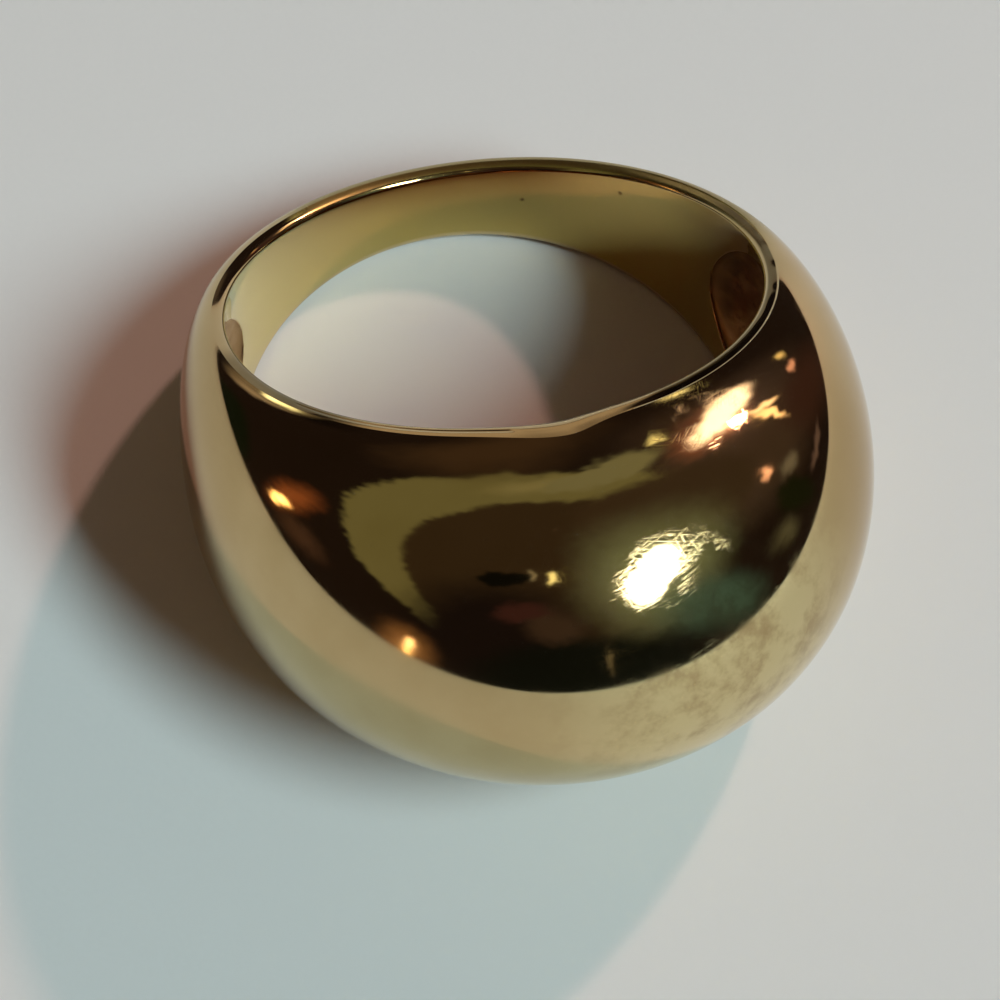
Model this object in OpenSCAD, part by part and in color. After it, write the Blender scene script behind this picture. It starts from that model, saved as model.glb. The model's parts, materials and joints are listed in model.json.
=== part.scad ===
// Dome ring: a polished metal finger ring whose narrow band swells into a wide dome.
// The dome is hollow behind, open to the finger hole.
// The ring lies on its side, flat on its lower rim, with the dome towards -Y and the band behind.
// The origin is under the middle of the ring, on the surface that it rests on.

/* [Finger hole] */
// Diameter of the finger hole
bore_d = 17.3; // [15:0.1:21]

/* [Band] */
// Width of the ring at the middle of the dome
dome_w = 12.4; // [9:0.1:16]
// Width of the band at the back
back_w = 3.3; // [2.4:0.1:5]
// Height of the dome over the finger hole
dome_h = 7.15; // [5:0.05:9]
// Thickness of the band at the back
back_t = 1.2; // [1.1:0.05:2]
// Flat width of the rim at the middle of the dome
dome_rim = 0.45; // [0.3:0.05:0.8]
// Flat width of the rim at the back
back_rim = 0.2; // [0.1:0.05:0.5]
// Power that shapes the swell: the higher it is, the sooner the dome falls off to the band
swell = 3; // [2:0.1:4]

/* [Hollow] */
// Thickness of the dome's wall over the hollow behind it
wall = 0.9; // [0.6:0.05:1]
// Width of the lip between the hollow's mouth and each rim
lip = 0.3; // [0.2:0.05:0.8]
// Angle round the finger that the hollow takes up
hollow_span = 223; // [160:1:230]
// Angle from the middle of the dome to the middle of the hollow
hollow_turn = -7; // [-10:1:10]
// Power that squares the hollow's ends: the higher it is, the blunter they are
hollow_square = 7.5; // [4:0.5:10]

/* [Hidden] */

// Sections round the ring
round_steps = 96;
// Flats across the outside of each section, and across its hollow
across_steps = 20;
hollow_steps = 12;
// Depth by which the band's inside is left unfinished until the finger hole is cut
overrun = 1;
// Share of the hollow's depth at which its sides stop and its arch begins
side_share = 0.2;
// Share of its mouth's width that the hollow keeps where its sides stop
draft_share = 0.98;
// Least share of its width at which the hollow's outline closes
closed_share = 0.3;
// Sides that draw the finger hole
$fn = 128;

bore_r = bore_d / 2;
inner_r = bore_r - overrun;
// Both rims are flat planes, which close in on each other from the dome to the back
mid_half_w = (dome_w + back_w) / 4;
rim_slope = (dome_w - back_w) / (2 * bore_d);
lean = atan(rim_slope);

// Point at an angle round the finger, which is 0 at the middle of the dome
function at(a, r, z) = [r * sin(a), -r * cos(a), z];

// Share of the dome that is left at an angle: 1 at its middle, 0 at the back
function dome_share(a) = pow((1 + cos(a)) / 2, swell);
function between(back, dome, a) = back + (dome - back) * dome_share(a);
function crown_h(a) = between(back_t, dome_h, a);
function rim_w(a) = between(back_rim, dome_rim, a);

// Distance from the middle plane to either rim's plane
function half_w(a, r) = mid_half_w + rim_slope * r * cos(a);

// Outside of the band at an angle: half an ellipse from one flat rim to the other.
// Towards the back its ends lean in with the rims, so that nothing stands proud of them.
function arch_point(a, r0, rise, b) =
    at(a, r0 + rise * cos(b), sin(b) * half_w(a, r0 + rise * cos(b) * (1 - cos(a)) / 2));
function arch(a) = [
    for (j = [0:across_steps])
        arch_point(a, bore_r + rim_w(a), crown_h(a) - rim_w(a), 180 * j / across_steps - 90)
];

// Place along the hollow at an angle: 0 at its middle, 1 at either end
function hollow_place(a) = abs(a - hollow_turn) / (hollow_span / 2);
function is_hollow(a) = hollow_place(a) < 1;
// Share of its full size that the hollow has at an angle, which rounds off its ends
function hollow_share(a) = is_hollow(a) ? sqrt(1 - pow(hollow_place(a), hollow_square)) : 0;
function hollow_half(a) = (half_w(a, bore_r) - lip) * max(hollow_share(a), closed_share);
function hollow_depth(a) = (crown_h(a) - wall) * hollow_share(a);
function hollow_r(a, b) = is_hollow(a)
    ? bore_r + hollow_depth(a) * (side_share + (1 - side_share) * cos(b))
    : inner_r;

// Inside of the band at an angle, where the hollow closes up to a plain wall past its ends
function inside(a) = concat(
    [at(a, inner_r, hollow_half(a))],
    [for (j = [0:hollow_steps]) inside_point(a, 90 - 180 * j / hollow_steps)],
    [at(a, inner_r, -hollow_half(a))]
);
function inside_point(a, b) = at(a, hollow_r(a, b), draft_share * hollow_half(a) * sin(b));

// Closed outline of the band at an angle
function section(a) = concat(
    [at(a, inner_r, -half_w(a, inner_r))],
    arch(a),
    [at(a, inner_r, half_w(a, inner_r))],
    inside(a)
);

// Place front to back of a point once the ring leans onto its lower rim
function leaning_y(p) = p[1] * cos(lean) + p[2] * sin(lean);
front_reach = -min([for (p = arch(0)) leaning_y(p)]);
back_reach = max([for (p = arch(180)) leaning_y(p)]);

// Four-sided faces between one section and the next, each section having count points
function side_faces(i, next, count) = [
    for (j = [0:count - 1])
        let (k = (j + 1) % count)
        [i * count + j, i * count + k, next * count + k, next * count + j]
];

// Solid whose sections run round in a closed loop
module closed_loft(sections) {
    rows = len(sections);
    polyhedron(
        [for (row = sections) for (p = row) p],
        [for (i = [0:rows - 1]) for (f = side_faces(i, (i + 1) % rows, len(sections[0]))) f]
    );
}

module band() {
    closed_loft([for (i = [1:round_steps]) section(360 * i / round_steps - 180)]);
}

module finger_hole() {
    cylinder(d = bore_d, h = 2 * dome_w, center = true);
}

// The whole ring, leaned onto its lower rim and centred over the origin
module ring() {
    color("goldenrod")
    translate([0, (front_reach - back_reach) / 2, mid_half_w * cos(lean)])
    rotate([-lean, 0, 0])
    difference() {
        band();
        finger_hole();
    }
}

ring();
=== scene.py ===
"""Dome ring: the finish of a polished gold-tone finger ring that lies on its lower rim."""
import json
import math

import bpy
from mathutils import Matrix, Vector, noise


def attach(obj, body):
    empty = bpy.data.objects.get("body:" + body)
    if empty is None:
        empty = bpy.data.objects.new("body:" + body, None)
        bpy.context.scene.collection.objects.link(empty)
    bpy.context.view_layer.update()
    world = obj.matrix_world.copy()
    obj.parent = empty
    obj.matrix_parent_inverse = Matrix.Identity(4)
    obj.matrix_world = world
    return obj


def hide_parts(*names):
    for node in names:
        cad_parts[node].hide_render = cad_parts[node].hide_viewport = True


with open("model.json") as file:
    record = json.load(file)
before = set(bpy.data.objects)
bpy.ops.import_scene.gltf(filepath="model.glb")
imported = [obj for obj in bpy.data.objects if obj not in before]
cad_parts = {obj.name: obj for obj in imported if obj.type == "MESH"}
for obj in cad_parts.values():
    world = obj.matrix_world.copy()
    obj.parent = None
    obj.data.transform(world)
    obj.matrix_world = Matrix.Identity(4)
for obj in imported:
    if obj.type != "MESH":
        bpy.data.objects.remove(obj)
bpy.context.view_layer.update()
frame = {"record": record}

MM = 0.001

# The ring's sizes as in the construction: lengths in millimetres, the hollow's span and turn in
# degrees, and the rest powers and shares
DOME_W = 12.4
BACK_W = 3.3
DOME_H = 7.15
BACK_T = 1.2
DOME_RIM = 0.45
BACK_RIM = 0.2
SWELL = 3
WALL = 0.9
LIP = 0.3
HOLLOW_SPAN = 223
HOLLOW_TURN = -7
HOLLOW_SQUARE = 7.5
SIDE_SHARE = 0.2

# Finer forms that only the finish has, in millimetres and degrees unless a comment says otherwise.
# The back's section: what it adds to an ellipse's power of 2, and the share of its height it lacks
BACK_SQUARE = 2.0
BACK_THIN = 0.15

# Crest of a rim: how far past the rim's inner width it lies at the dome and at the back, how far the
# upper one is raised at the dome, and over what distance outwards that fades
CREST_OUT = 0.12
BACK_CREST_OUT = 0.2
CREST_RAISE = 0.05
CREST_BLEND = 1.3

# Bulge of the upper crest at the worn front: its size, its angle and its reach to either side
BULGE_OUT = 0.34
BULGE_AT = -3
BULGE_LEFT = 11
BULGE_RIGHT = 6.5

# Slope of the rims at the crest, there at the back, and where the rounded edge of the hole begins,
# and the size of that rounding on the upper and on the lower rim
BEVEL_FIRST = 9.5
BACK_BEVEL = 9
BEVEL_LAST = 34
EDGE_ROUND = 0.09
LOWER_ROUND = 0.19

# Wear of the upper rim: a thin line and a chamfer. Places across it are shares of the rim's width.
# A stretch is its start, what it takes to fade in, its end and what it takes to fade out
LINE_DEEP = 0.016
LINE_AT = 0.55
LINE_WIDE = 0.11
LINE_STRETCH = (-62, 10, -13, 1.5)
CHAMFER_DEEP = 0.036
CHAMFER_START = 0.02
CHAMFER_FADE = 0.07
CHAMFER_WIDE = 0.8
CHAMFER_UNEVEN = 0.4
CHAMFER_WAVE = 5
CHAMFER_STRETCH = (8, 9, 118, 16)

# Masks on the upper rim: the share of the half width at which the rim begins and what it takes to
# fade in, the angles where its outer part is dull, and the stretches round and across it that are
# darkened, partly by dirt and partly by painted shade
RIM_STARTS = 0.86
RIM_FADE = 0.08
DULL_RIGHT = (80, 20)
DULL_LEFT = (140, 15)
DULL_FADE = 0.1
DIRT_AND_SHADE_RIGHT = (12, 8, 98, 16)
DIRT_AND_SHADE_RIGHT_ACROSS = (0.08, 0.1, 0.68, 0.14)
DIRT_AND_SHADE_LEFT = (-88, 8, -52, 16)
DIRT_AND_SHADE_LEFT_ACROSS = (-0.5, 0.12, 0.8, 0.15)

# Rounding of the hollow's mouth, how far it stays below the rim's edge, the share of its height that
# the mouth's rows keep where there is no hollow, and how far from the wall the wall's colours end
MOUTH_ROUND = 0.15
MOUTH_BELOW = 0.02
CLOSED_SHARE = 0.15
WALL_EDGE = 0.004

# Cast grain in the hollow, which sets in over a share of the way to its middle, and the long soft
# waves of the polished outside
CAST_DEPTH = 0.05
CAST_GRAIN = 0.7
CAST_FADE = 0.25
WAVE_DEPTH = 0.004
WAVE_LENGTH = 3.2

# Steps of the mesh round the ring, with extra ones at the hollow's ends and a gap free beside them,
# and its steps across each part of the outline
ROUND_STEPS = 432
END_OFFSETS = (0.03, 0.08, 0.15, 0.25, 0.4, 0.6)
END_GAP = 0.2
ARCH_STEPS = 80
CREST_STEPS = 2
BEVEL_STEPS = 18
EDGE_STEPS = 4
WALL_STEPS = 3
MOUTH_STEPS = 5
HALF_HOLLOW_STEPS = 20
HOLLOW_STEPS = 2 * HALF_HOLLOW_STEPS
FIRST_INSIDE = ARCH_STEPS + 1 + BEVEL_STEPS + EDGE_STEPS + WALL_STEPS + MOUTH_STEPS
LAST_INSIDE = FIRST_INSIDE + HOLLOW_STEPS - 1

# The surface unrolled on a cylinder, in millimetres, and twisted so that lines along its axis
# run over the ring in several directions
UNROLL_R = 9.0
TWISTS = {"scratch_a": -1.1, "scratch_b": 0.25, "scratch_c": 1.7, "scratch_d": -3.0}

mounts = {m["name"]: m for m in frame["record"]["mounts"]}
HOLE = mounts["finger_hole"]
BORE_R = HOLE["dims"]["r_mm"]
CENTRE = Vector(HOLE["pos_m"])
LEAN = math.atan2(HOLE["axis"][1], HOLE["axis"][2])
LYING = Matrix.Translation(CENTRE) @ Matrix.Rotation(-LEAN, 4, "X")
MID_HALF_W = (DOME_W + BACK_W) / 4
RIM_SLOPE = (DOME_W - BACK_W) / (4 * BORE_R)


def smooth(x):
    x = min(1, max(0, x))
    return x * x * (3 - 2 * x)


def bell(x):
    return math.exp(-x * x)


def stretch(x, start, fade_in, end, fade_out):
    """1 along a stretch, 0 before its start, and 0 again past its end and fade."""
    return smooth((x - start) / fade_in) * (1 - smooth((x - end) / fade_out))


def dome_share(a):
    return ((1 + math.cos(a)) / 2) ** SWELL


def between(back, dome, a):
    return back + (dome - back) * dome_share(a)


def half_w(a, r):
    """Distance from the middle plane to either rim's plane."""
    return MID_HALF_W + RIM_SLOPE * r * math.cos(a)


def on_ring(a, r, z):
    """Point of the ring before it is laid down, in millimetres from the finger hole's centre."""
    return Vector((r * math.sin(a), -r * math.cos(a), z))


def where(a_deg, r, z):
    """The same point of the lying ring in the row frame, in metres, with its angle in degrees."""
    return LYING @ (on_ring(math.radians(a_deg), r, z) * MM)


def hollow_share(a):
    """Share of its full size that the hollow has at an angle, 0 past its ends."""
    off = abs(math.degrees(a) - HOLLOW_TURN) / (HOLLOW_SPAN / 2)
    return math.sqrt(1 - off**HOLLOW_SQUARE) if off < 1 else 0.0


def crest_out(a):
    """How far past the rim's inner width the upper crest lies, with its bulge at the front."""
    off = math.degrees(a) - BULGE_AT
    reach = BULGE_LEFT if off < 0 else BULGE_RIGHT
    return between(BACK_CREST_OUT, CREST_OUT, a) + BULGE_OUT * bell(off / reach)


def arch(a, worn):
    """Outside of the band from the lower rim's crest to the upper one, as (radius, height)."""
    r0 = BORE_R + between(BACK_RIM, DOME_RIM, a)
    back = dome_share(a + math.pi)
    rise = (between(BACK_T, DOME_H, a) - between(BACK_RIM, DOME_RIM, a)) * (1 - BACK_THIN * back)
    power = 2 / (2 + BACK_SQUARE * back)
    low = math.acos((between(BACK_CREST_OUT, CREST_OUT, a) / rise) ** (1 / power))
    high = math.acos((crest_out(a) / rise) ** (1 / power)) if worn else low
    points = []
    for i in range(ARCH_STEPS + 1):
        b = -low + (high + low) * i / ARCH_STEPS
        out = rise * math.cos(b) ** power
        z = abs(math.sin(b)) ** power * half_w(a, r0 + out * (1 - math.cos(a)) / 2)
        near_crest = 1 - smooth((out - CREST_OUT) / CREST_BLEND)
        raised = CREST_RAISE * near_crest * dome_share(a) if worn and b > 0 else 0
        points.append((r0 + out, math.copysign(z, b) + raised))
    return points


def rim_wear(a, s):
    """Depth of the wear at a share of the upper rim's width: a thin line left of its plain front,
    and right of it a chamfer behind a narrow crest."""
    deg = math.degrees(a)
    line = stretch(deg, *LINE_STRETCH) * bell((s - LINE_AT) / LINE_WIDE)
    chamfer = smooth((s - CHAMFER_START) / CHAMFER_FADE) * max(0, 1 - s / CHAMFER_WIDE)
    chamfer *= 1 + CHAMFER_UNEVEN * noise.noise(Vector((deg / CHAMFER_WAVE, 0, 0)))
    return LINE_DEEP * line + CHAMFER_DEEP * stretch(deg, *CHAMFER_STRETCH) * chamfer


def on_upper_rim(a, r, z):
    """1 on and just below the upper rim, 0 lower down."""
    return smooth((z / half_w(a, r) - RIM_STARTS) / RIM_FADE)


def dull_edge(a, r, z):
    """1 on the upper rim's outer part round the back, which has lost its polish, and 0 elsewhere."""
    deg = math.degrees(a)
    start, fade = DULL_RIGHT if deg > 0 else DULL_LEFT
    return smooth((abs(deg) - start) / fade) * on_upper_rim(a, r, z) * smooth((r - BORE_R) / DULL_FADE)


def dirt_and_shade(a, r, z):
    """1 where the upper rim is darkened, behind its crest on the right and on the left: partly dirt and
    tarnish, partly painted shade.
    """
    deg = math.degrees(a)
    crest = BORE_R + between(BACK_RIM, DOME_RIM, a) + crest_out(a)
    s = (crest - r) / (crest - BORE_R)
    right = stretch(deg, *DIRT_AND_SHADE_RIGHT) * stretch(s, *DIRT_AND_SHADE_RIGHT_ACROSS)
    left = stretch(deg, *DIRT_AND_SHADE_LEFT) * stretch(s, *DIRT_AND_SHADE_LEFT_ACROSS)
    return max(right, left) * on_upper_rim(a, r, z)


def rim_edge(a, crest, worn):
    """Rim from its crest to the finger hole's wall: a bevel that turns into a rounded edge."""
    radius, z = crest
    rounding = EDGE_ROUND if worn else LOWER_ROUND
    width = radius - BORE_R - rounding
    first = BACK_BEVEL + (BEVEL_FIRST - BACK_BEVEL) * smooth(2 * dome_share(a))
    points = []
    for i in range(1, BEVEL_STEPS + 1):
        s = i / BEVEL_STEPS
        tilt = math.radians(first + (BEVEL_LAST - first) * s**4)
        radius -= width / BEVEL_STEPS
        z -= math.tan(tilt) * width / BEVEL_STEPS
        dent = rim_wear(a, s) if worn else 0
        points.append((radius, z - dent))
    start = math.radians(BEVEL_LAST)
    base = rounding / (1 - math.sin(start))
    for i in range(1, EDGE_STEPS + 1):
        t = start + (math.pi / 2 - start) * i / EDGE_STEPS
        points.append((BORE_R + base * (1 - math.sin(t)), z - base * (math.cos(start) - math.cos(t))))
    return points


def half_inside(a, top):
    """Upper half of the inside, from the rim's edge down the wall and into the hollow."""
    share = hollow_share(a)
    mouth = (half_w(a, BORE_R) - LIP) * max(share, CLOSED_SHARE)
    mouth = min(mouth, top - MOUTH_ROUND - MOUTH_BELOW)
    depth = (between(BACK_T, DOME_H, a) - WALL) * share
    turn = min(MOUTH_ROUND, depth * SIDE_SHARE)
    points = []
    for i in range(1, WALL_STEPS + 1):
        points.append((BORE_R, top + (mouth + MOUTH_ROUND - top) * i / WALL_STEPS))
    for i in range(1, MOUTH_STEPS + 1):
        t = math.pi / 2 * i / MOUTH_STEPS
        points.append((BORE_R + turn * (1 - math.cos(t)), mouth + MOUTH_ROUND * (1 - math.sin(t))))
    for i in range(1, HALF_HOLLOW_STEPS + 1):
        b = math.pi / 2 * (1 - i / HALF_HOLLOW_STEPS)
        out = depth * (SIDE_SHARE + (1 - SIDE_SHARE) * math.cos(b))
        points.append((BORE_R + out, mouth * math.sin(b)))
    return points


def mirrored(points):
    return [(r, -z) for r, z in reversed(points)]


def outline(a):
    """Closed outline of the band at an angle."""
    outside = arch(a, True)
    edge = rim_edge(a, outside[-1], True)
    lower_edge = rim_edge(a, arch(a, False)[-1], False)
    inside = half_inside(a, edge[-1][1])
    lower_inside = half_inside(a, lower_edge[-1][1])
    return outside + edge + inside + mirrored(lower_inside[:-1]) + mirrored(lower_edge)


def station_angles():
    """Angles of the sections, in degrees, with finer steps at the hollow's two ends."""
    angles = {360 * i / ROUND_STEPS - 180 for i in range(ROUND_STEPS)}
    for side in (-1, 1):
        end = HOLLOW_TURN + side * HOLLOW_SPAN / 2
        angles = {x for x in angles if abs(x - end) > END_OFFSETS[-1] + END_GAP}
        angles |= {end + sign * offset for offset in END_OFFSETS for sign in (-1, 1)}
    return sorted(angles)


def relief(j, p, share):
    """Unevenness at corner j of a section: cast grain in the hollow, soft waves on the outside."""
    if FIRST_INSIDE < j < LAST_INSIDE and share:
        q = p / CAST_GRAIN
        grain = CAST_DEPTH * (noise.noise(q) + 0.5 * noise.noise(2.3 * q))
        to_middle = 1 - abs(2 * (j - FIRST_INSIDE) / HOLLOW_STEPS - 1)
        return grain * min(1, to_middle / CAST_FADE) * share
    if CREST_STEPS < j < ARCH_STEPS - CREST_STEPS:
        return WAVE_DEPTH * noise.noise(p / WAVE_LENGTH)
    return 0.0


def ring_points(angles):
    """Corners of the mesh, section by section: their places in the row frame, the same unrolled to an
    angle and a distance across the surface, and the masks that the materials read."""
    place = LYING @ Matrix.Scale(MM, 4)
    verts = []
    unrolled = []
    masks = {"on_wall": [], "depth": [], "rise": [], "dull": [], "dirty": []}
    for angle in angles:
        a = math.radians(angle)
        share = hollow_share(a)
        points = outline(a)
        before = points[0]
        across = -half_w(a, BORE_R)
        for j, (r, z) in enumerate(points):
            across += math.dist(before, (r, z))
            before = (r, z)
            unrolled.append((a, across))
            masks["on_wall"].append(float(r < BORE_R + WALL_EDGE))
            masks["depth"].append(r - BORE_R)
            masks["rise"].append(z / half_w(a, r))
            masks["dull"].append(dull_edge(a, r, z))
            masks["dirty"].append(dirt_and_shade(a, r, z))
            verts.append(place @ on_ring(a, r + relief(j, on_ring(a, r, z), share), z))
    return verts, unrolled, masks


def ring_faces(angles, count):
    """Faces between the sections, and the material slot of each: 1 in the hollow, 0 elsewhere."""
    faces = []
    slots = []
    for i, angle in enumerate(angles):
        here = i * count
        following = (i + 1) % len(angles) * count
        is_open = hollow_share(math.radians(angle)) > 0
        for j in range(count):
            k = (j + 1) % count
            faces.append((here + j, following + j, following + k, here + k))
            slots.append(int(is_open and FIRST_INSIDE <= j < LAST_INSIDE))
    return faces, slots


def ring_mesh():
    """The whole ring as one closed mesh in the row frame, with the attributes its materials read."""
    angles = station_angles()
    verts, unrolled, masks = ring_points(angles)
    count = len(verts) // len(angles)
    faces, slots = ring_faces(angles, count)
    mesh = bpy.data.meshes.new("dome_ring")
    mesh.from_pydata(verts, [], faces)
    mesh.polygons.foreach_set("material_index", slots)
    mesh.polygons.foreach_set("use_smooth", [True] * len(faces))
    for edge in mesh.edges:
        start, end = (v % count for v in edge.vertices)
        if start == end and start in (0, ARCH_STEPS):
            edge.use_edge_sharp = True
    for name, twist in TWISTS.items():
        turned = [(a + twist * v / UNROLL_R, v) for a, v in unrolled]
        flat = [c for t, v in turned for c in (UNROLL_R * math.sin(t), UNROLL_R * math.cos(t), v)]
        mesh.attributes.new(name, "FLOAT_VECTOR", "POINT").data.foreach_set("vector", flat)
    for name, values in masks.items():
        mesh.attributes.new(name, "FLOAT", "POINT").data.foreach_set("value", values)
    mesh.update()
    return mesh


class Nodes:
    """Small helper that adds nodes to one tree and links them."""

    def __init__(self, tree):
        self.tree = tree

    def fill(self, node, inputs):
        """Links a node's inputs to the sockets given for them, and sets them to plain values."""
        for key, value in dict(inputs).items():
            if isinstance(value, bpy.types.NodeSocket):
                self.tree.links.new(value, node.inputs[key])
            else:
                node.inputs[key].default_value = value

    def add(self, kind, inputs=(), **settings):
        node = self.tree.nodes.new(kind)
        for key, value in settings.items():
            setattr(node, key, value)
        self.fill(node, inputs)
        return node

    def attribute(self, name, output="Fac"):
        return self.add("ShaderNodeAttribute", attribute_name=name).outputs[output]

    def math(self, operation, a, b=0.0, clamp=False):
        return self.add("ShaderNodeMath", {0: a, 1: b}, operation=operation, use_clamp=clamp).outputs[0]

    def ramp(self, value, low, high, out_low=0.0, out_high=1.0):
        sockets = {"Value": value, 1: low, 2: high, 3: out_low, 4: out_high}
        return self.add("ShaderNodeMapRange", sockets, interpolation_type="SMOOTHSTEP").outputs[0]

    def mix(self, share, a, b):
        sockets = {0: share, 6: a, 7: b}
        return self.add("ShaderNodeMix", sockets, data_type="RGBA").outputs[2]

    def mapping(self, vector, location, scale, kind="POINT"):
        sockets = {"Vector": vector, "Location": location, "Scale": scale}
        return self.add("ShaderNodeMapping", sockets, vector_type=kind).outputs[0]

    def noise(self, vector, scale, detail=3.0, rough=0.5):
        sockets = {"Vector": vector, "Scale": scale, "Detail": detail, "Roughness": rough}
        return self.add("ShaderNodeTexNoise", sockets).outputs["Fac"]

    def spot(self, place, a, r, z, reach, soft):
        """1 in a ball round a point of the ring, given in degrees and millimetres, that fades to 0
        at its reach over the share soft of it."""
        ball = self.mapping(place, where(a, r, z), (reach * MM,) * 3, "TEXTURE")
        near = self.add("ShaderNodeTexGradient", {"Vector": ball}, gradient_type="SPHERICAL")
        return self.ramp(near.outputs["Fac"], 0.0, soft)

    def spots(self, place, rows, least=0.0):
        """The strongest of several spots at each place, or least where that is more."""
        strongest = least
        for row in rows:
            strongest = self.math("MAXIMUM", self.spot(place, *row), strongest)
        return strongest


def new_material(name):
    mat = bpy.data.materials.new(name)
    mat.use_nodes = True
    tree = mat.node_tree
    tree.nodes.clear()
    nodes = Nodes(tree)
    shader = nodes.add("ShaderNodeBsdfPrincipled", {"Metallic": 1.0})
    nodes.add("ShaderNodeOutputMaterial", {"Surface": shader.outputs["BSDF"]})
    return mat, nodes, shader


# Noise scales per metre. Then the hairlines on the unrolled surface: their scale, stretch, spread and
# shift from one direction to the next and width, and how strong they are away from the worn places
HAZE_SCALE = 420
MOTTLE_SCALE = 700
BREAK_SCALE = 900
PATCH_SCALE = 620
GRAIN_SCALE = 1500
SCRATCH_SCALE = 2.6
SCRATCH_SHORT = 0.2
SCRATCH_SPREAD = 0.4
SCRATCH_SHIFT = 7
SCRATCH_WIDE = 0.012
SCRATCH_LEAST = 0.12

# Spots: angle in degrees, radius, height and reach in millimetres, and how soft the edge is
SCRATCHED = ((8, 14.3, 4.0, 5.8, 0.9), (20, 10.6, 5.9, 2.8, 0.9))
STAIN = (11, 15.4, 0.9, 7.3, 0.7)
TARNISH = ((44, 13.6, 1.6, 6.0, 1.0), (-78, 11.4, 1.0, 6.5, 1.0))
SATIN = ((-58, 12.3, 0.2, 4.6, 0.8), (-30, 14.7, -0.5, 4.6, 0.8), (-2, 15.7, -0.8, 3.8, 0.8))
PALE_WALL = (-112, BORE_R, 0, 9.5, 0.8)
OCHRE_WALL = (132, BORE_R, 1.6, 4.3, 0.9)
PITS = ((157, BORE_R, 0.25, 0.13, 0.9), (133, BORE_R, 1.45, 0.13, 0.9))
DARK_SPOTS = ((102, 8.91, 0.04, 0.75, 0.8), (101, 8.94, -0.77, 0.75, 0.8), (100, 8.9, 1.4, 1.0, 0.8))

GOLD = (0.635, 0.475, 0.245, 1)
DEEP_GOLD = (0.58, 0.425, 0.205, 1)
STRAW_GOLD = (0.74, 0.61, 0.32, 1)
BROWN_GOLD = (0.46, 0.32, 0.15, 1)
TARNISHED_GOLD = (0.50, 0.335, 0.145, 1)
WALL_OLIVE = (0.52, 0.385, 0.125, 1)
# Painted shade: the brown that the wall turns towards the upper rim
WALL_SHADE_BROWN = (0.36, 0.205, 0.055, 1)
WALL_PALE = (0.73, 0.62, 0.31, 1)
WALL_OCHRE = (0.76, 0.55, 0.19, 1)
DULL_OLIVE = (0.42, 0.33, 0.12, 1)
# Darkening of the upper rim: partly dirt and tarnish, partly painted shade
DIRT_AND_SHADE_BROWN = (0.17, 0.125, 0.045, 1)
PIT_BROWN = (0.10, 0.04, 0.02, 1)
CAST_TAN = (0.54, 0.33, 0.155, 1)
CAST_BROWN = (0.24, 0.105, 0.045, 1)
CAST_DARK = (0.10, 0.035, 0.012, 1)
CAST_LIP = (0.44, 0.30, 0.14, 1)

# Cover of the colours that stay thin, and what each kind of wear adds to the roughness
STAIN_COVER = 0.85
PIT_COVER = 0.7
SCRATCH_ROUGH = 0.02
DULL_ROUGH = 0.28
STAIN_ROUGH = 0.08
SATIN_ROUGH = 0.17
PIT_ROUGH = 0.4
CAST_LEAST_ROUGH = 0.06

# Thin clear coat on the polished metal, and the depths of scratches and cast grain in metres
COAT = 0.06
COAT_ROUGH = 0.3
SCRATCH_DEPTH = 0.00000042
GRAIN_DEPTH = 0.00003


def scratches(nodes, place):
    """Hairlines in several directions, 0 to 1, strong about two places and faint elsewhere, which a
    noise breaks up into short ones."""
    lines = 0.0
    for i, name in enumerate(TWISTS):
        wide = 1 + SCRATCH_SPREAD * i
        unrolled = nodes.attribute(name, "Vector")
        long = nodes.mapping(unrolled, (0, 0, SCRATCH_SHIFT * i), (wide, wide, SCRATCH_SHORT))
        off = nodes.math("SUBTRACT", nodes.noise(long, SCRATCH_SCALE), 0.5)
        line = nodes.ramp(nodes.math("ABSOLUTE", off), 0.0, SCRATCH_WIDE, 1.0, 0.0)
        lines = nodes.math("MAXIMUM", line, lines)
    worn = nodes.spots(place, SCRATCHED, SCRATCH_LEAST)
    worn = nodes.math("MULTIPLY", worn, nodes.ramp(nodes.noise(place, BREAK_SCALE), 0.34, 0.68))
    return nodes.math("MULTIPLY", lines, worn)


def wall_colour(nodes, place, haze):
    """Colour of the finger hole's wall: olive patina, which painted shade turns browner towards the
    upper rim, with a pale place on the left and an ochre one at the back right."""
    # Painted shade: darker and browner the higher up the wall, towards the upper rim
    height = nodes.math("ADD", nodes.attribute("rise"), nodes.math("MULTIPLY", haze, 0.4))
    colour = nodes.mix(nodes.ramp(height, 0.3, 1.3), WALL_OLIVE, WALL_SHADE_BROWN)
    colour = nodes.mix(nodes.spot(place, *PALE_WALL), colour, WALL_PALE)
    return nodes.mix(nodes.spot(place, *OCHRE_WALL), colour, WALL_OCHRE)


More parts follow.
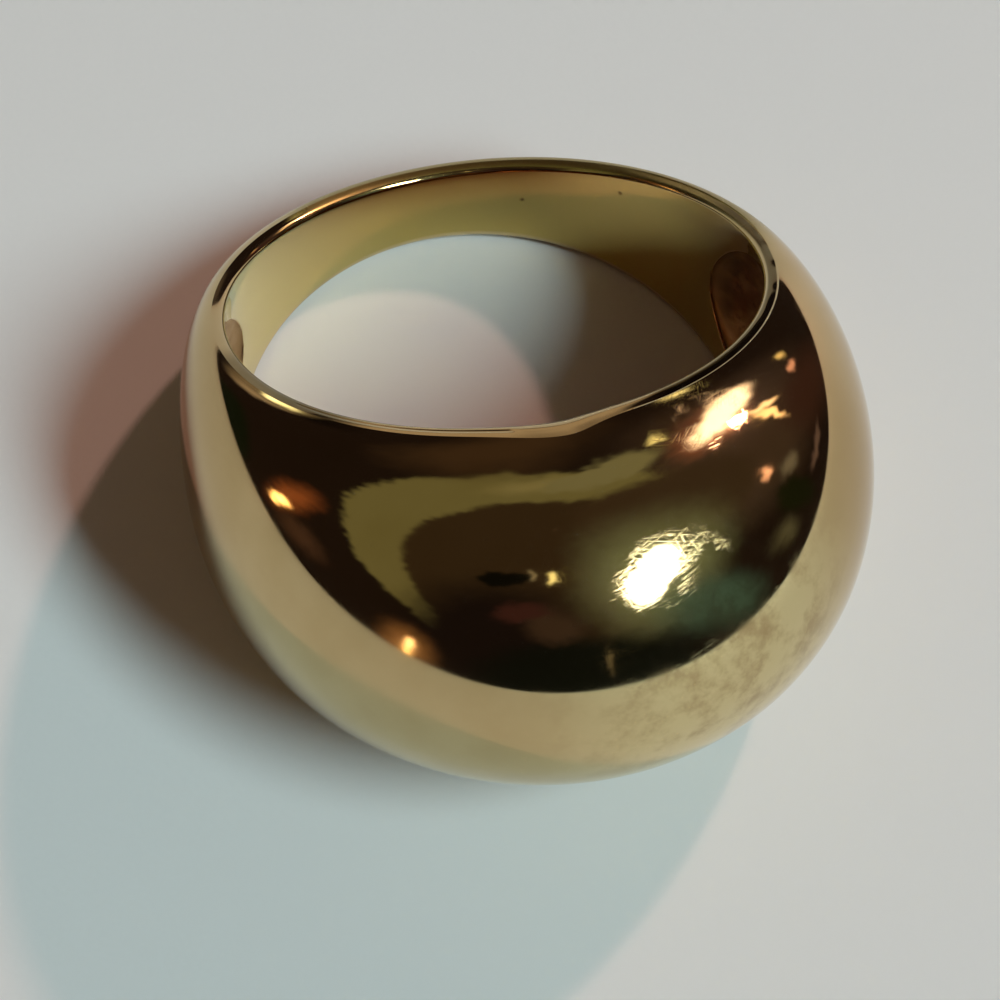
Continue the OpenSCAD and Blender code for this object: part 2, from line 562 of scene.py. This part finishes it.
def polished_gold():
    """The polished metal with its wear, and painted shade on the finger hole's wall and the upper rim.
    Each layer of colour covers those before it.
    """
    mat, nodes, shader = new_material("polished_gold")
    place = nodes.add("ShaderNodeTexCoord").outputs["Object"]
    haze = nodes.noise(place, HAZE_SCALE)
    lines = scratches(nodes, place)
    dull = nodes.attribute("dull")
    # Painted shade, with some dirt and tarnish, darkens the groove of the upper rim on the right and
    # its left part
    dirty = nodes.math("MULTIPLY", nodes.attribute("dirty"), nodes.ramp(haze, 0.2, 0.55, 0.75, 1.0))
    stained = nodes.spot(place, *STAIN)
    mottle = nodes.ramp(nodes.noise(place, MOTTLE_SCALE, 6.0, 0.65), 0.42, 0.68)
    stain = nodes.math("MULTIPLY", stained, mottle)
    pit = nodes.spots(place, PITS)
    satin = nodes.spots(place, SATIN)
    layers = [
        (nodes.attribute("on_wall"), wall_colour(nodes, place, haze)),
        (dull, DULL_OLIVE),
        (dirty, DIRT_AND_SHADE_BROWN),
        (stained, STRAW_GOLD),
        (nodes.math("MULTIPLY", stain, STAIN_COVER), BROWN_GOLD),
    ]
    layers += [(nodes.spot(place, *row), TARNISHED_GOLD) for row in TARNISH]
    layers += [(nodes.math("MULTIPLY", pit, PIT_COVER), PIT_BROWN)]
    colour = nodes.mix(nodes.ramp(haze, 0.3, 0.8), GOLD, DEEP_GOLD)
    for cover, tint in layers:
        colour = nodes.mix(cover, colour, tint)
    wear = [
        (lines, SCRATCH_ROUGH),
        (dull, DULL_ROUGH),
        (stain, STAIN_ROUGH),
        (satin, SATIN_ROUGH),
        (pit, PIT_ROUGH),
    ]
    rough = nodes.ramp(haze, 0.3, 0.75, 0.03, 0.06)
    for mask, more in wear:
        rough = nodes.math("ADD", rough, nodes.math("MULTIPLY", mask, more), clamp=True)
    relief_in = {"Height": lines, "Strength": 1.0, "Distance": SCRATCH_DEPTH}
    bump = nodes.add("ShaderNodeBump", relief_in, invert=True)
    nodes.fill(shader, {"Base Color": colour, "Roughness": rough, "Normal": bump.outputs["Normal"]})
    nodes.fill(shader, {"Coat Weight": COAT, "Coat Roughness": COAT_ROUGH})
    return mat


def cast_gold():
    """The hollow's inside, left as it was cast: rough, dull and reddish brown. That sets in with the
    depth below the finger hole's wall."""
    mat, nodes, shader = new_material("cast_gold")
    place = nodes.add("ShaderNodeTexCoord").outputs["Object"]
    grain = nodes.noise(place, GRAIN_SCALE, 4.0, 0.65)
    patches = nodes.noise(place, PATCH_SCALE)
    depth = nodes.attribute("depth")
    inside = nodes.ramp(depth, 0.02, 0.5)
    colour = nodes.mix(nodes.ramp(patches, 0.35, 0.7), CAST_TAN, CAST_BROWN)
    for row in DARK_SPOTS:
        colour = nodes.mix(nodes.spot(place, *row), colour, CAST_DARK)
    colour = nodes.mix(nodes.ramp(grain, 0.55, 0.72, 0.0, 0.7), colour, PIT_BROWN)
    colour = nodes.mix(inside, CAST_LIP, colour)
    cast = nodes.ramp(grain, 0.3, 0.7, 0.24, 0.42)
    rough = nodes.math("MULTIPLY", nodes.ramp(depth, 0.003, 0.05), cast)
    rough = nodes.math("ADD", rough, CAST_LEAST_ROUGH)
    bump = nodes.add("ShaderNodeBump", {"Height": grain, "Strength": inside, "Distance": GRAIN_DEPTH})
    nodes.fill(shader, {"Base Color": colour, "Roughness": rough, "Normal": bump.outputs["Normal"]})
    return mat


FLOOR_SIZE = 8
FLOOR_COLOUR = (0.80, 0.80, 0.775, 1)
FLOOR_ROUGH = 0.65


def floor():
    bpy.ops.mesh.primitive_plane_add(size=FLOOR_SIZE)
    plane = bpy.context.object
    plane.name = "floor"
    mat, nodes, shader = new_material("pale_floor")
    nodes.fill(shader, {"Metallic": 0.0, "Base Color": FLOOR_COLOUR, "Roughness": FLOOR_ROUGH})
    plane.data.materials.append(mat)


def direction(azimuth, elevation):
    """Unit vector to a place in the room. Azimuth 0 is -Y and 90 is +X."""
    a, e = math.radians(azimuth), math.radians(elevation)
    return Vector((math.sin(a) * math.cos(e), -math.cos(a) * math.cos(e), math.sin(e)))


LIGHT_DISTANCE = 2.5
# Name, azimuth, elevation, width and length in degrees as the ring sees them, azimuth and elevation
# of a point that the length runs to, colour, radiance, and whether the metal mirrors it. The room
# has a glow of its own where the metal shows the key light
LIGHTS = [
    ("key", 42, 44.5, 14, 36, (61.5, 56), (0.726, 0.944, 1.0), 21.4, False),
    ("warm", 127, 38, 3.5, 3.5, (127, 60), (1.0, 0.535, 0.435), 286, True),
]


def soft_light(name, azimuth, elevation, wide, long, towards, colour, radiance, mirrored_too):
    data = bpy.data.lights.new(name, "AREA")
    data.shape = "ELLIPSE"
    data.size = 2 * LIGHT_DISTANCE * math.tan(math.radians(wide / 2))
    data.size_y = 2 * LIGHT_DISTANCE * math.tan(math.radians(long / 2))
    area = math.pi / 4 * data.size * data.size_y
    data.energy = radiance * math.pi * area
    data.color = colour
    light = bpy.data.objects.new(name, data)
    bpy.context.collection.objects.link(light)
    back = direction(azimuth, elevation)
    side = direction(*towards).cross(back).normalized()
    along = back.cross(side)
    turn = Matrix((side, along, back)).transposed().to_4x4()
    light.matrix_world = Matrix.Translation(back * LIGHT_DISTANCE) @ turn
    light.visible_glossy = mirrored_too


# The room as a round chart: the zenith at (0, 0), the horizon at radius 1, azimuth 0 downwards and
# 90 to the right. Each row paints one soft patch over those before it: its place and half sizes on
# the chart in hundredths, its turn in degrees, how soft its edge is, its colour and how much of
# what is under it it covers
ROOM_DARK = (0.012, 0.0075, 0.006)
ROOM = {
    "right_wall": (51, 19, 40, 47, 0, 0.6, (0.05, 0.034, 0.026), 1),
    "olive_wall": (-14, -16, 56, 56, 0, 0.05, (0.14, 0.135, 0.065), 1),
    "back_brown": (0, 48, 26, 16, 0, 0.8, (0.045, 0.027, 0.016), 1),
    "ceiling": (-7, -33, 52, 52, 0, 0.06, (0.033, 0.022, 0.013), 1),
    "ceiling_right": (32, 2, 30, 22, 0, 0.25, (0.040, 0.027, 0.017), 1),
    "olive_middle": (0, 28, 15, 7, 10, 1.0, (0.20, 0.19, 0.10), 1),
    "olive_right": (14, 28, 16, 6.5, 20, 0.35, (0.17, 0.17, 0.10), 1),
    "front_left_shade": (-40, -56, 53, 42, 0, 0.6, (0.009, 0.006, 0.006), 1),
    "front_shade": (-5, -88, 77, 33, 0, 0.5, (0.005, 0.006, 0.005), 1),
    "front_brown": (-14, -54, 17, 15, 0, 0.7, (0.04, 0.026, 0.02), 1),
    "front_black": (-23, -24, 9, 5, 0, 0.3, (0.004, 0.004, 0.003), 1),
    "front_maroon": (-24, -44, 15, 7, 0, 0.6, (0.040, 0.016, 0.016), 1),
    "key_halo": (26, -33, 35, 45, 0, 0.9, (0.175, 0.21, 0.14), 1),
    "key_glow": (24.5, -34, 8.5, 17, -12, 0.25, (20.0, 21.3, 20.0), 1),
    "front_right": (52, -56, 36, 22, 0, 0.7, (0.045, 0.085, 0.08), 0.9),
    "right_dark": (81, -9, 15, 10, 0, 0.5, (0.009, 0.011, 0.004), 1),
    "right_olive": (79, -26, 12, 9, 30, 1.0, (0.10, 0.10, 0.07), 1),
    "right_grey": (72, 4, 5, 9, -15, 0.8, (0.16, 0.145, 0.125), 1),
    "right_streak": (88, 12, 2.5, 14, 0, 0.6, (0.13, 0.09, 0.09), 1),
    "right_maroon": (79, 37, 24, 26, 0, 0.8, (0.04, 0.019, 0.015), 1),
    "left_brown": (-88, 12, 11, 19, 0, 0.9, (0.055, 0.03, 0.021), 1),
    "back_green": (-70, 72, 38, 15, 30, 0.4, (0.006, 0.009, 0.004), 1),
    "back_pale": (4, 90, 32, 11, 0, 0.4, (0.36, 0.29, 0.22), 1),
    "back_bright": (-8.5, 88, 3, 4.5, 0, 0.6, (5.5, 5.6, 4.4), 1),
    "left_glow": (-73, 30, 19, 13, 0, 1.0, (0.26, 0.08, 0.03), 1),
    "left_lamp": (-81, 30, 5, 6, 20, 0.8, (5.0, 3.0, 1.3), 1),
    "front_left_glow": (-82, -53, 22, 20, 0, 1.0, (0.28, 0.14, 0.06), 1),
    "front_left_lamp": (-78, -52, 5, 3.5, 30, 0.8, (4.0, 2.5, 1.4), 1),
    "front_left_low": (-83, -56, 6, 2.5, 30, 0.8, (5.0, 3.2, 1.4), 1),
    "warm_glow": (40, 35, 11, 18, -37, 1.0, (0.36, 0.13, 0.085), 1),
    "warm_wisp": (56, 36, 8, 2, 15, 0.7, (2.2, 1.5, 1.0), 1),
    "warm_wisp_low": (60, 31, 11, 2.4, -22, 0.7, (2.4, 1.6, 0.9), 1),
    "warm_spark": (59, 55, 4, 2.2, -35, 0.8, (1.2, 0.9, 0.4), 1),
    "warm_spark_low": (66, 49, 5, 2, -35, 0.8, (0.9, 0.45, 0.35), 1),
    "warm_heart": (42, 38.5, 6, 14, -37, 0.5, (3.4, 2.7, 2.4), 1),
    "right_lamp": (62.5, 2.5, 2.6, 3.4, 0, 0.7, (1.8, 0.95, 0.7), 1),
    "rim_glint": (30, 60, 2.5, 5, 0, 0.7, (1.8, 1.7, 1.0), 1),
    "olive_glint": (28, 37, 2.4, 1.8, 20, 0.7, (1.5, 1.4, 0.7), 1),
    "front_glint": (-8.5, -26, 2.0, 6, 0, 0.6, (1.5, 1.4, 0.75), 1),
    "front_glint_left": (-15, -22, 1.2, 5, 0, 0.8, (0.3, 0.27, 0.2), 1),
    "front_streak": (5.5, -80, 1.8, 13, 0, 0.8, (0.11, 0.09, 0.06), 1),
}
ROOM_GAIN = 1.3
AMBIENT = (0.081, 0.052, 0.034)

# The globe's radius in metres, its steps round and up, and its lowest and highest elevation
ROOM_R = 3.0
ROOM_STEPS = 400
ROOM_RISE_STEPS = 100
ROOM_LOWEST = -1
ROOM_HIGHEST = 89.5

# Unevenness of the patches' edges on the chart: its size, the scale and strength of its parts, and
# the seed for the offsets that noise_vector otherwise draws anew in each run
WARP_SHARE = 0.03
WARPS = ((2.5, 1.0), (7.5, 0.5), (25, 0.55))
WARP_SEED = 1795747354


def room_colour(way):
    """Colour of the room in a direction."""
    warp = Vector((0, 0, 0))
    for scale, strength in WARPS:
        warp += strength * noise.noise_vector(way * scale)
    far = math.acos(min(1, max(-1, way.z))) / (math.pi / 2) / max(math.hypot(way.x, way.y), 1e-6)
    chart = Vector((way.x * far, way.y * far)) + WARP_SHARE * warp.xy
    colour = Vector(ROOM_DARK)
    for x, y, wide, high, turn, soft, tint, cover in ROOM.values():
        off = Matrix.Rotation(-math.radians(turn), 2) @ (chart - Vector((x, y)) / 100)
        inside = 1 - math.hypot(off.x * 100 / wide, off.y * 100 / high)
        colour = colour.lerp(Vector(tint), cover * smooth(inside / soft))
    return colour * ROOM_GAIN


def room_mesh():
    """Half a globe round the floor, with the room's colours at its corners."""
    noise.seed_set(WARP_SEED)
    verts = []
    colours = []
    for i in range(ROOM_RISE_STEPS + 1):
        elevation = ROOM_LOWEST + (ROOM_HIGHEST - ROOM_LOWEST) * i / ROOM_RISE_STEPS
        for k in range(ROOM_STEPS):
            way = direction(360 * k / ROOM_STEPS, elevation)
            verts.append(way * ROOM_R)
            colours.extend((*room_colour(way), 1))
    faces = []
    for i in range(ROOM_RISE_STEPS):
        for k in range(ROOM_STEPS):
            low = i * ROOM_STEPS + k
            next_low = i * ROOM_STEPS + (k + 1) % ROOM_STEPS
            faces.append((low, next_low, next_low + ROOM_STEPS, low + ROOM_STEPS))
    mesh = bpy.data.meshes.new("room")
    mesh.from_pydata(verts, [], faces)
    mesh.color_attributes.new("room_colour", "FLOAT_COLOR", "POINT").data.foreach_set("color", colours)
    return mesh


def room_light():
    """Glow in the mesh's own colours, which isn't sampled as a light."""
    mat = bpy.data.materials.new("room_light")
    mat.use_nodes = True
    mat.node_tree.nodes.clear()
    nodes = Nodes(mat.node_tree)
    glow = nodes.add("ShaderNodeEmission", {"Color": nodes.attribute("room_colour", "Color")})
    nodes.add("ShaderNodeOutputMaterial", {"Surface": glow.outputs[0]})
    mat.cycles.emission_sampling = "NONE"
    return mat


def room():
    """Dim room that the metal mirrors, hidden from matt surfaces: an even glow lights those."""
    mesh = room_mesh()
    mesh.materials.append(room_light())
    walls = bpy.data.objects.new("room", mesh)
    bpy.context.collection.objects.link(walls)
    walls.visible_diffuse = False
    world = bpy.data.worlds.new("ambient")
    world.use_nodes = True
    world.node_tree.nodes["Background"].inputs["Color"].default_value = (*AMBIENT, 1)
    bpy.context.scene.world = world
    for row in LIGHTS:
        soft_light(*row)


# The photo's camera, found by fitting the ring's outline and rims: where it is from the finger
# hole's centre, where it looks, which way is up and its focal length in picture widths
CAMERA_FROM_HOLE = Vector((-16.80, -42.60, 72.16)) * MM
CAMERA_FORWARD = Vector((0.18857, 0.45642, -0.86955))
CAMERA_UP = Vector((0.21191, 0.84567, 0.48984))
CAMERA_REACH = 2.5707


def camera():
    data = bpy.data.cameras.new("camera")
    data.sensor_width = 36
    data.lens = data.sensor_width * CAMERA_REACH
    data.clip_start = 0.005
    data.clip_end = 20
    cam = bpy.data.objects.new("camera", data)
    bpy.context.collection.objects.link(cam)
    back = -CAMERA_FORWARD.normalized()
    right = CAMERA_UP.cross(back).normalized()
    up = back.cross(right)
    turn = Matrix((right, up, back)).transposed().to_4x4()
    cam.matrix_world = Matrix.Translation(CENTRE + CAMERA_FROM_HOLE) @ turn
    bpy.context.scene.camera = cam


camera()
ring = bpy.data.objects.new("dome_ring", ring_mesh())
bpy.context.collection.objects.link(ring)
ring.data.materials.append(polished_gold())
ring.data.materials.append(cast_gold())
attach(ring, "root")
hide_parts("ring")
floor()
room()
bpy.context.scene.view_settings.view_transform = "Standard"
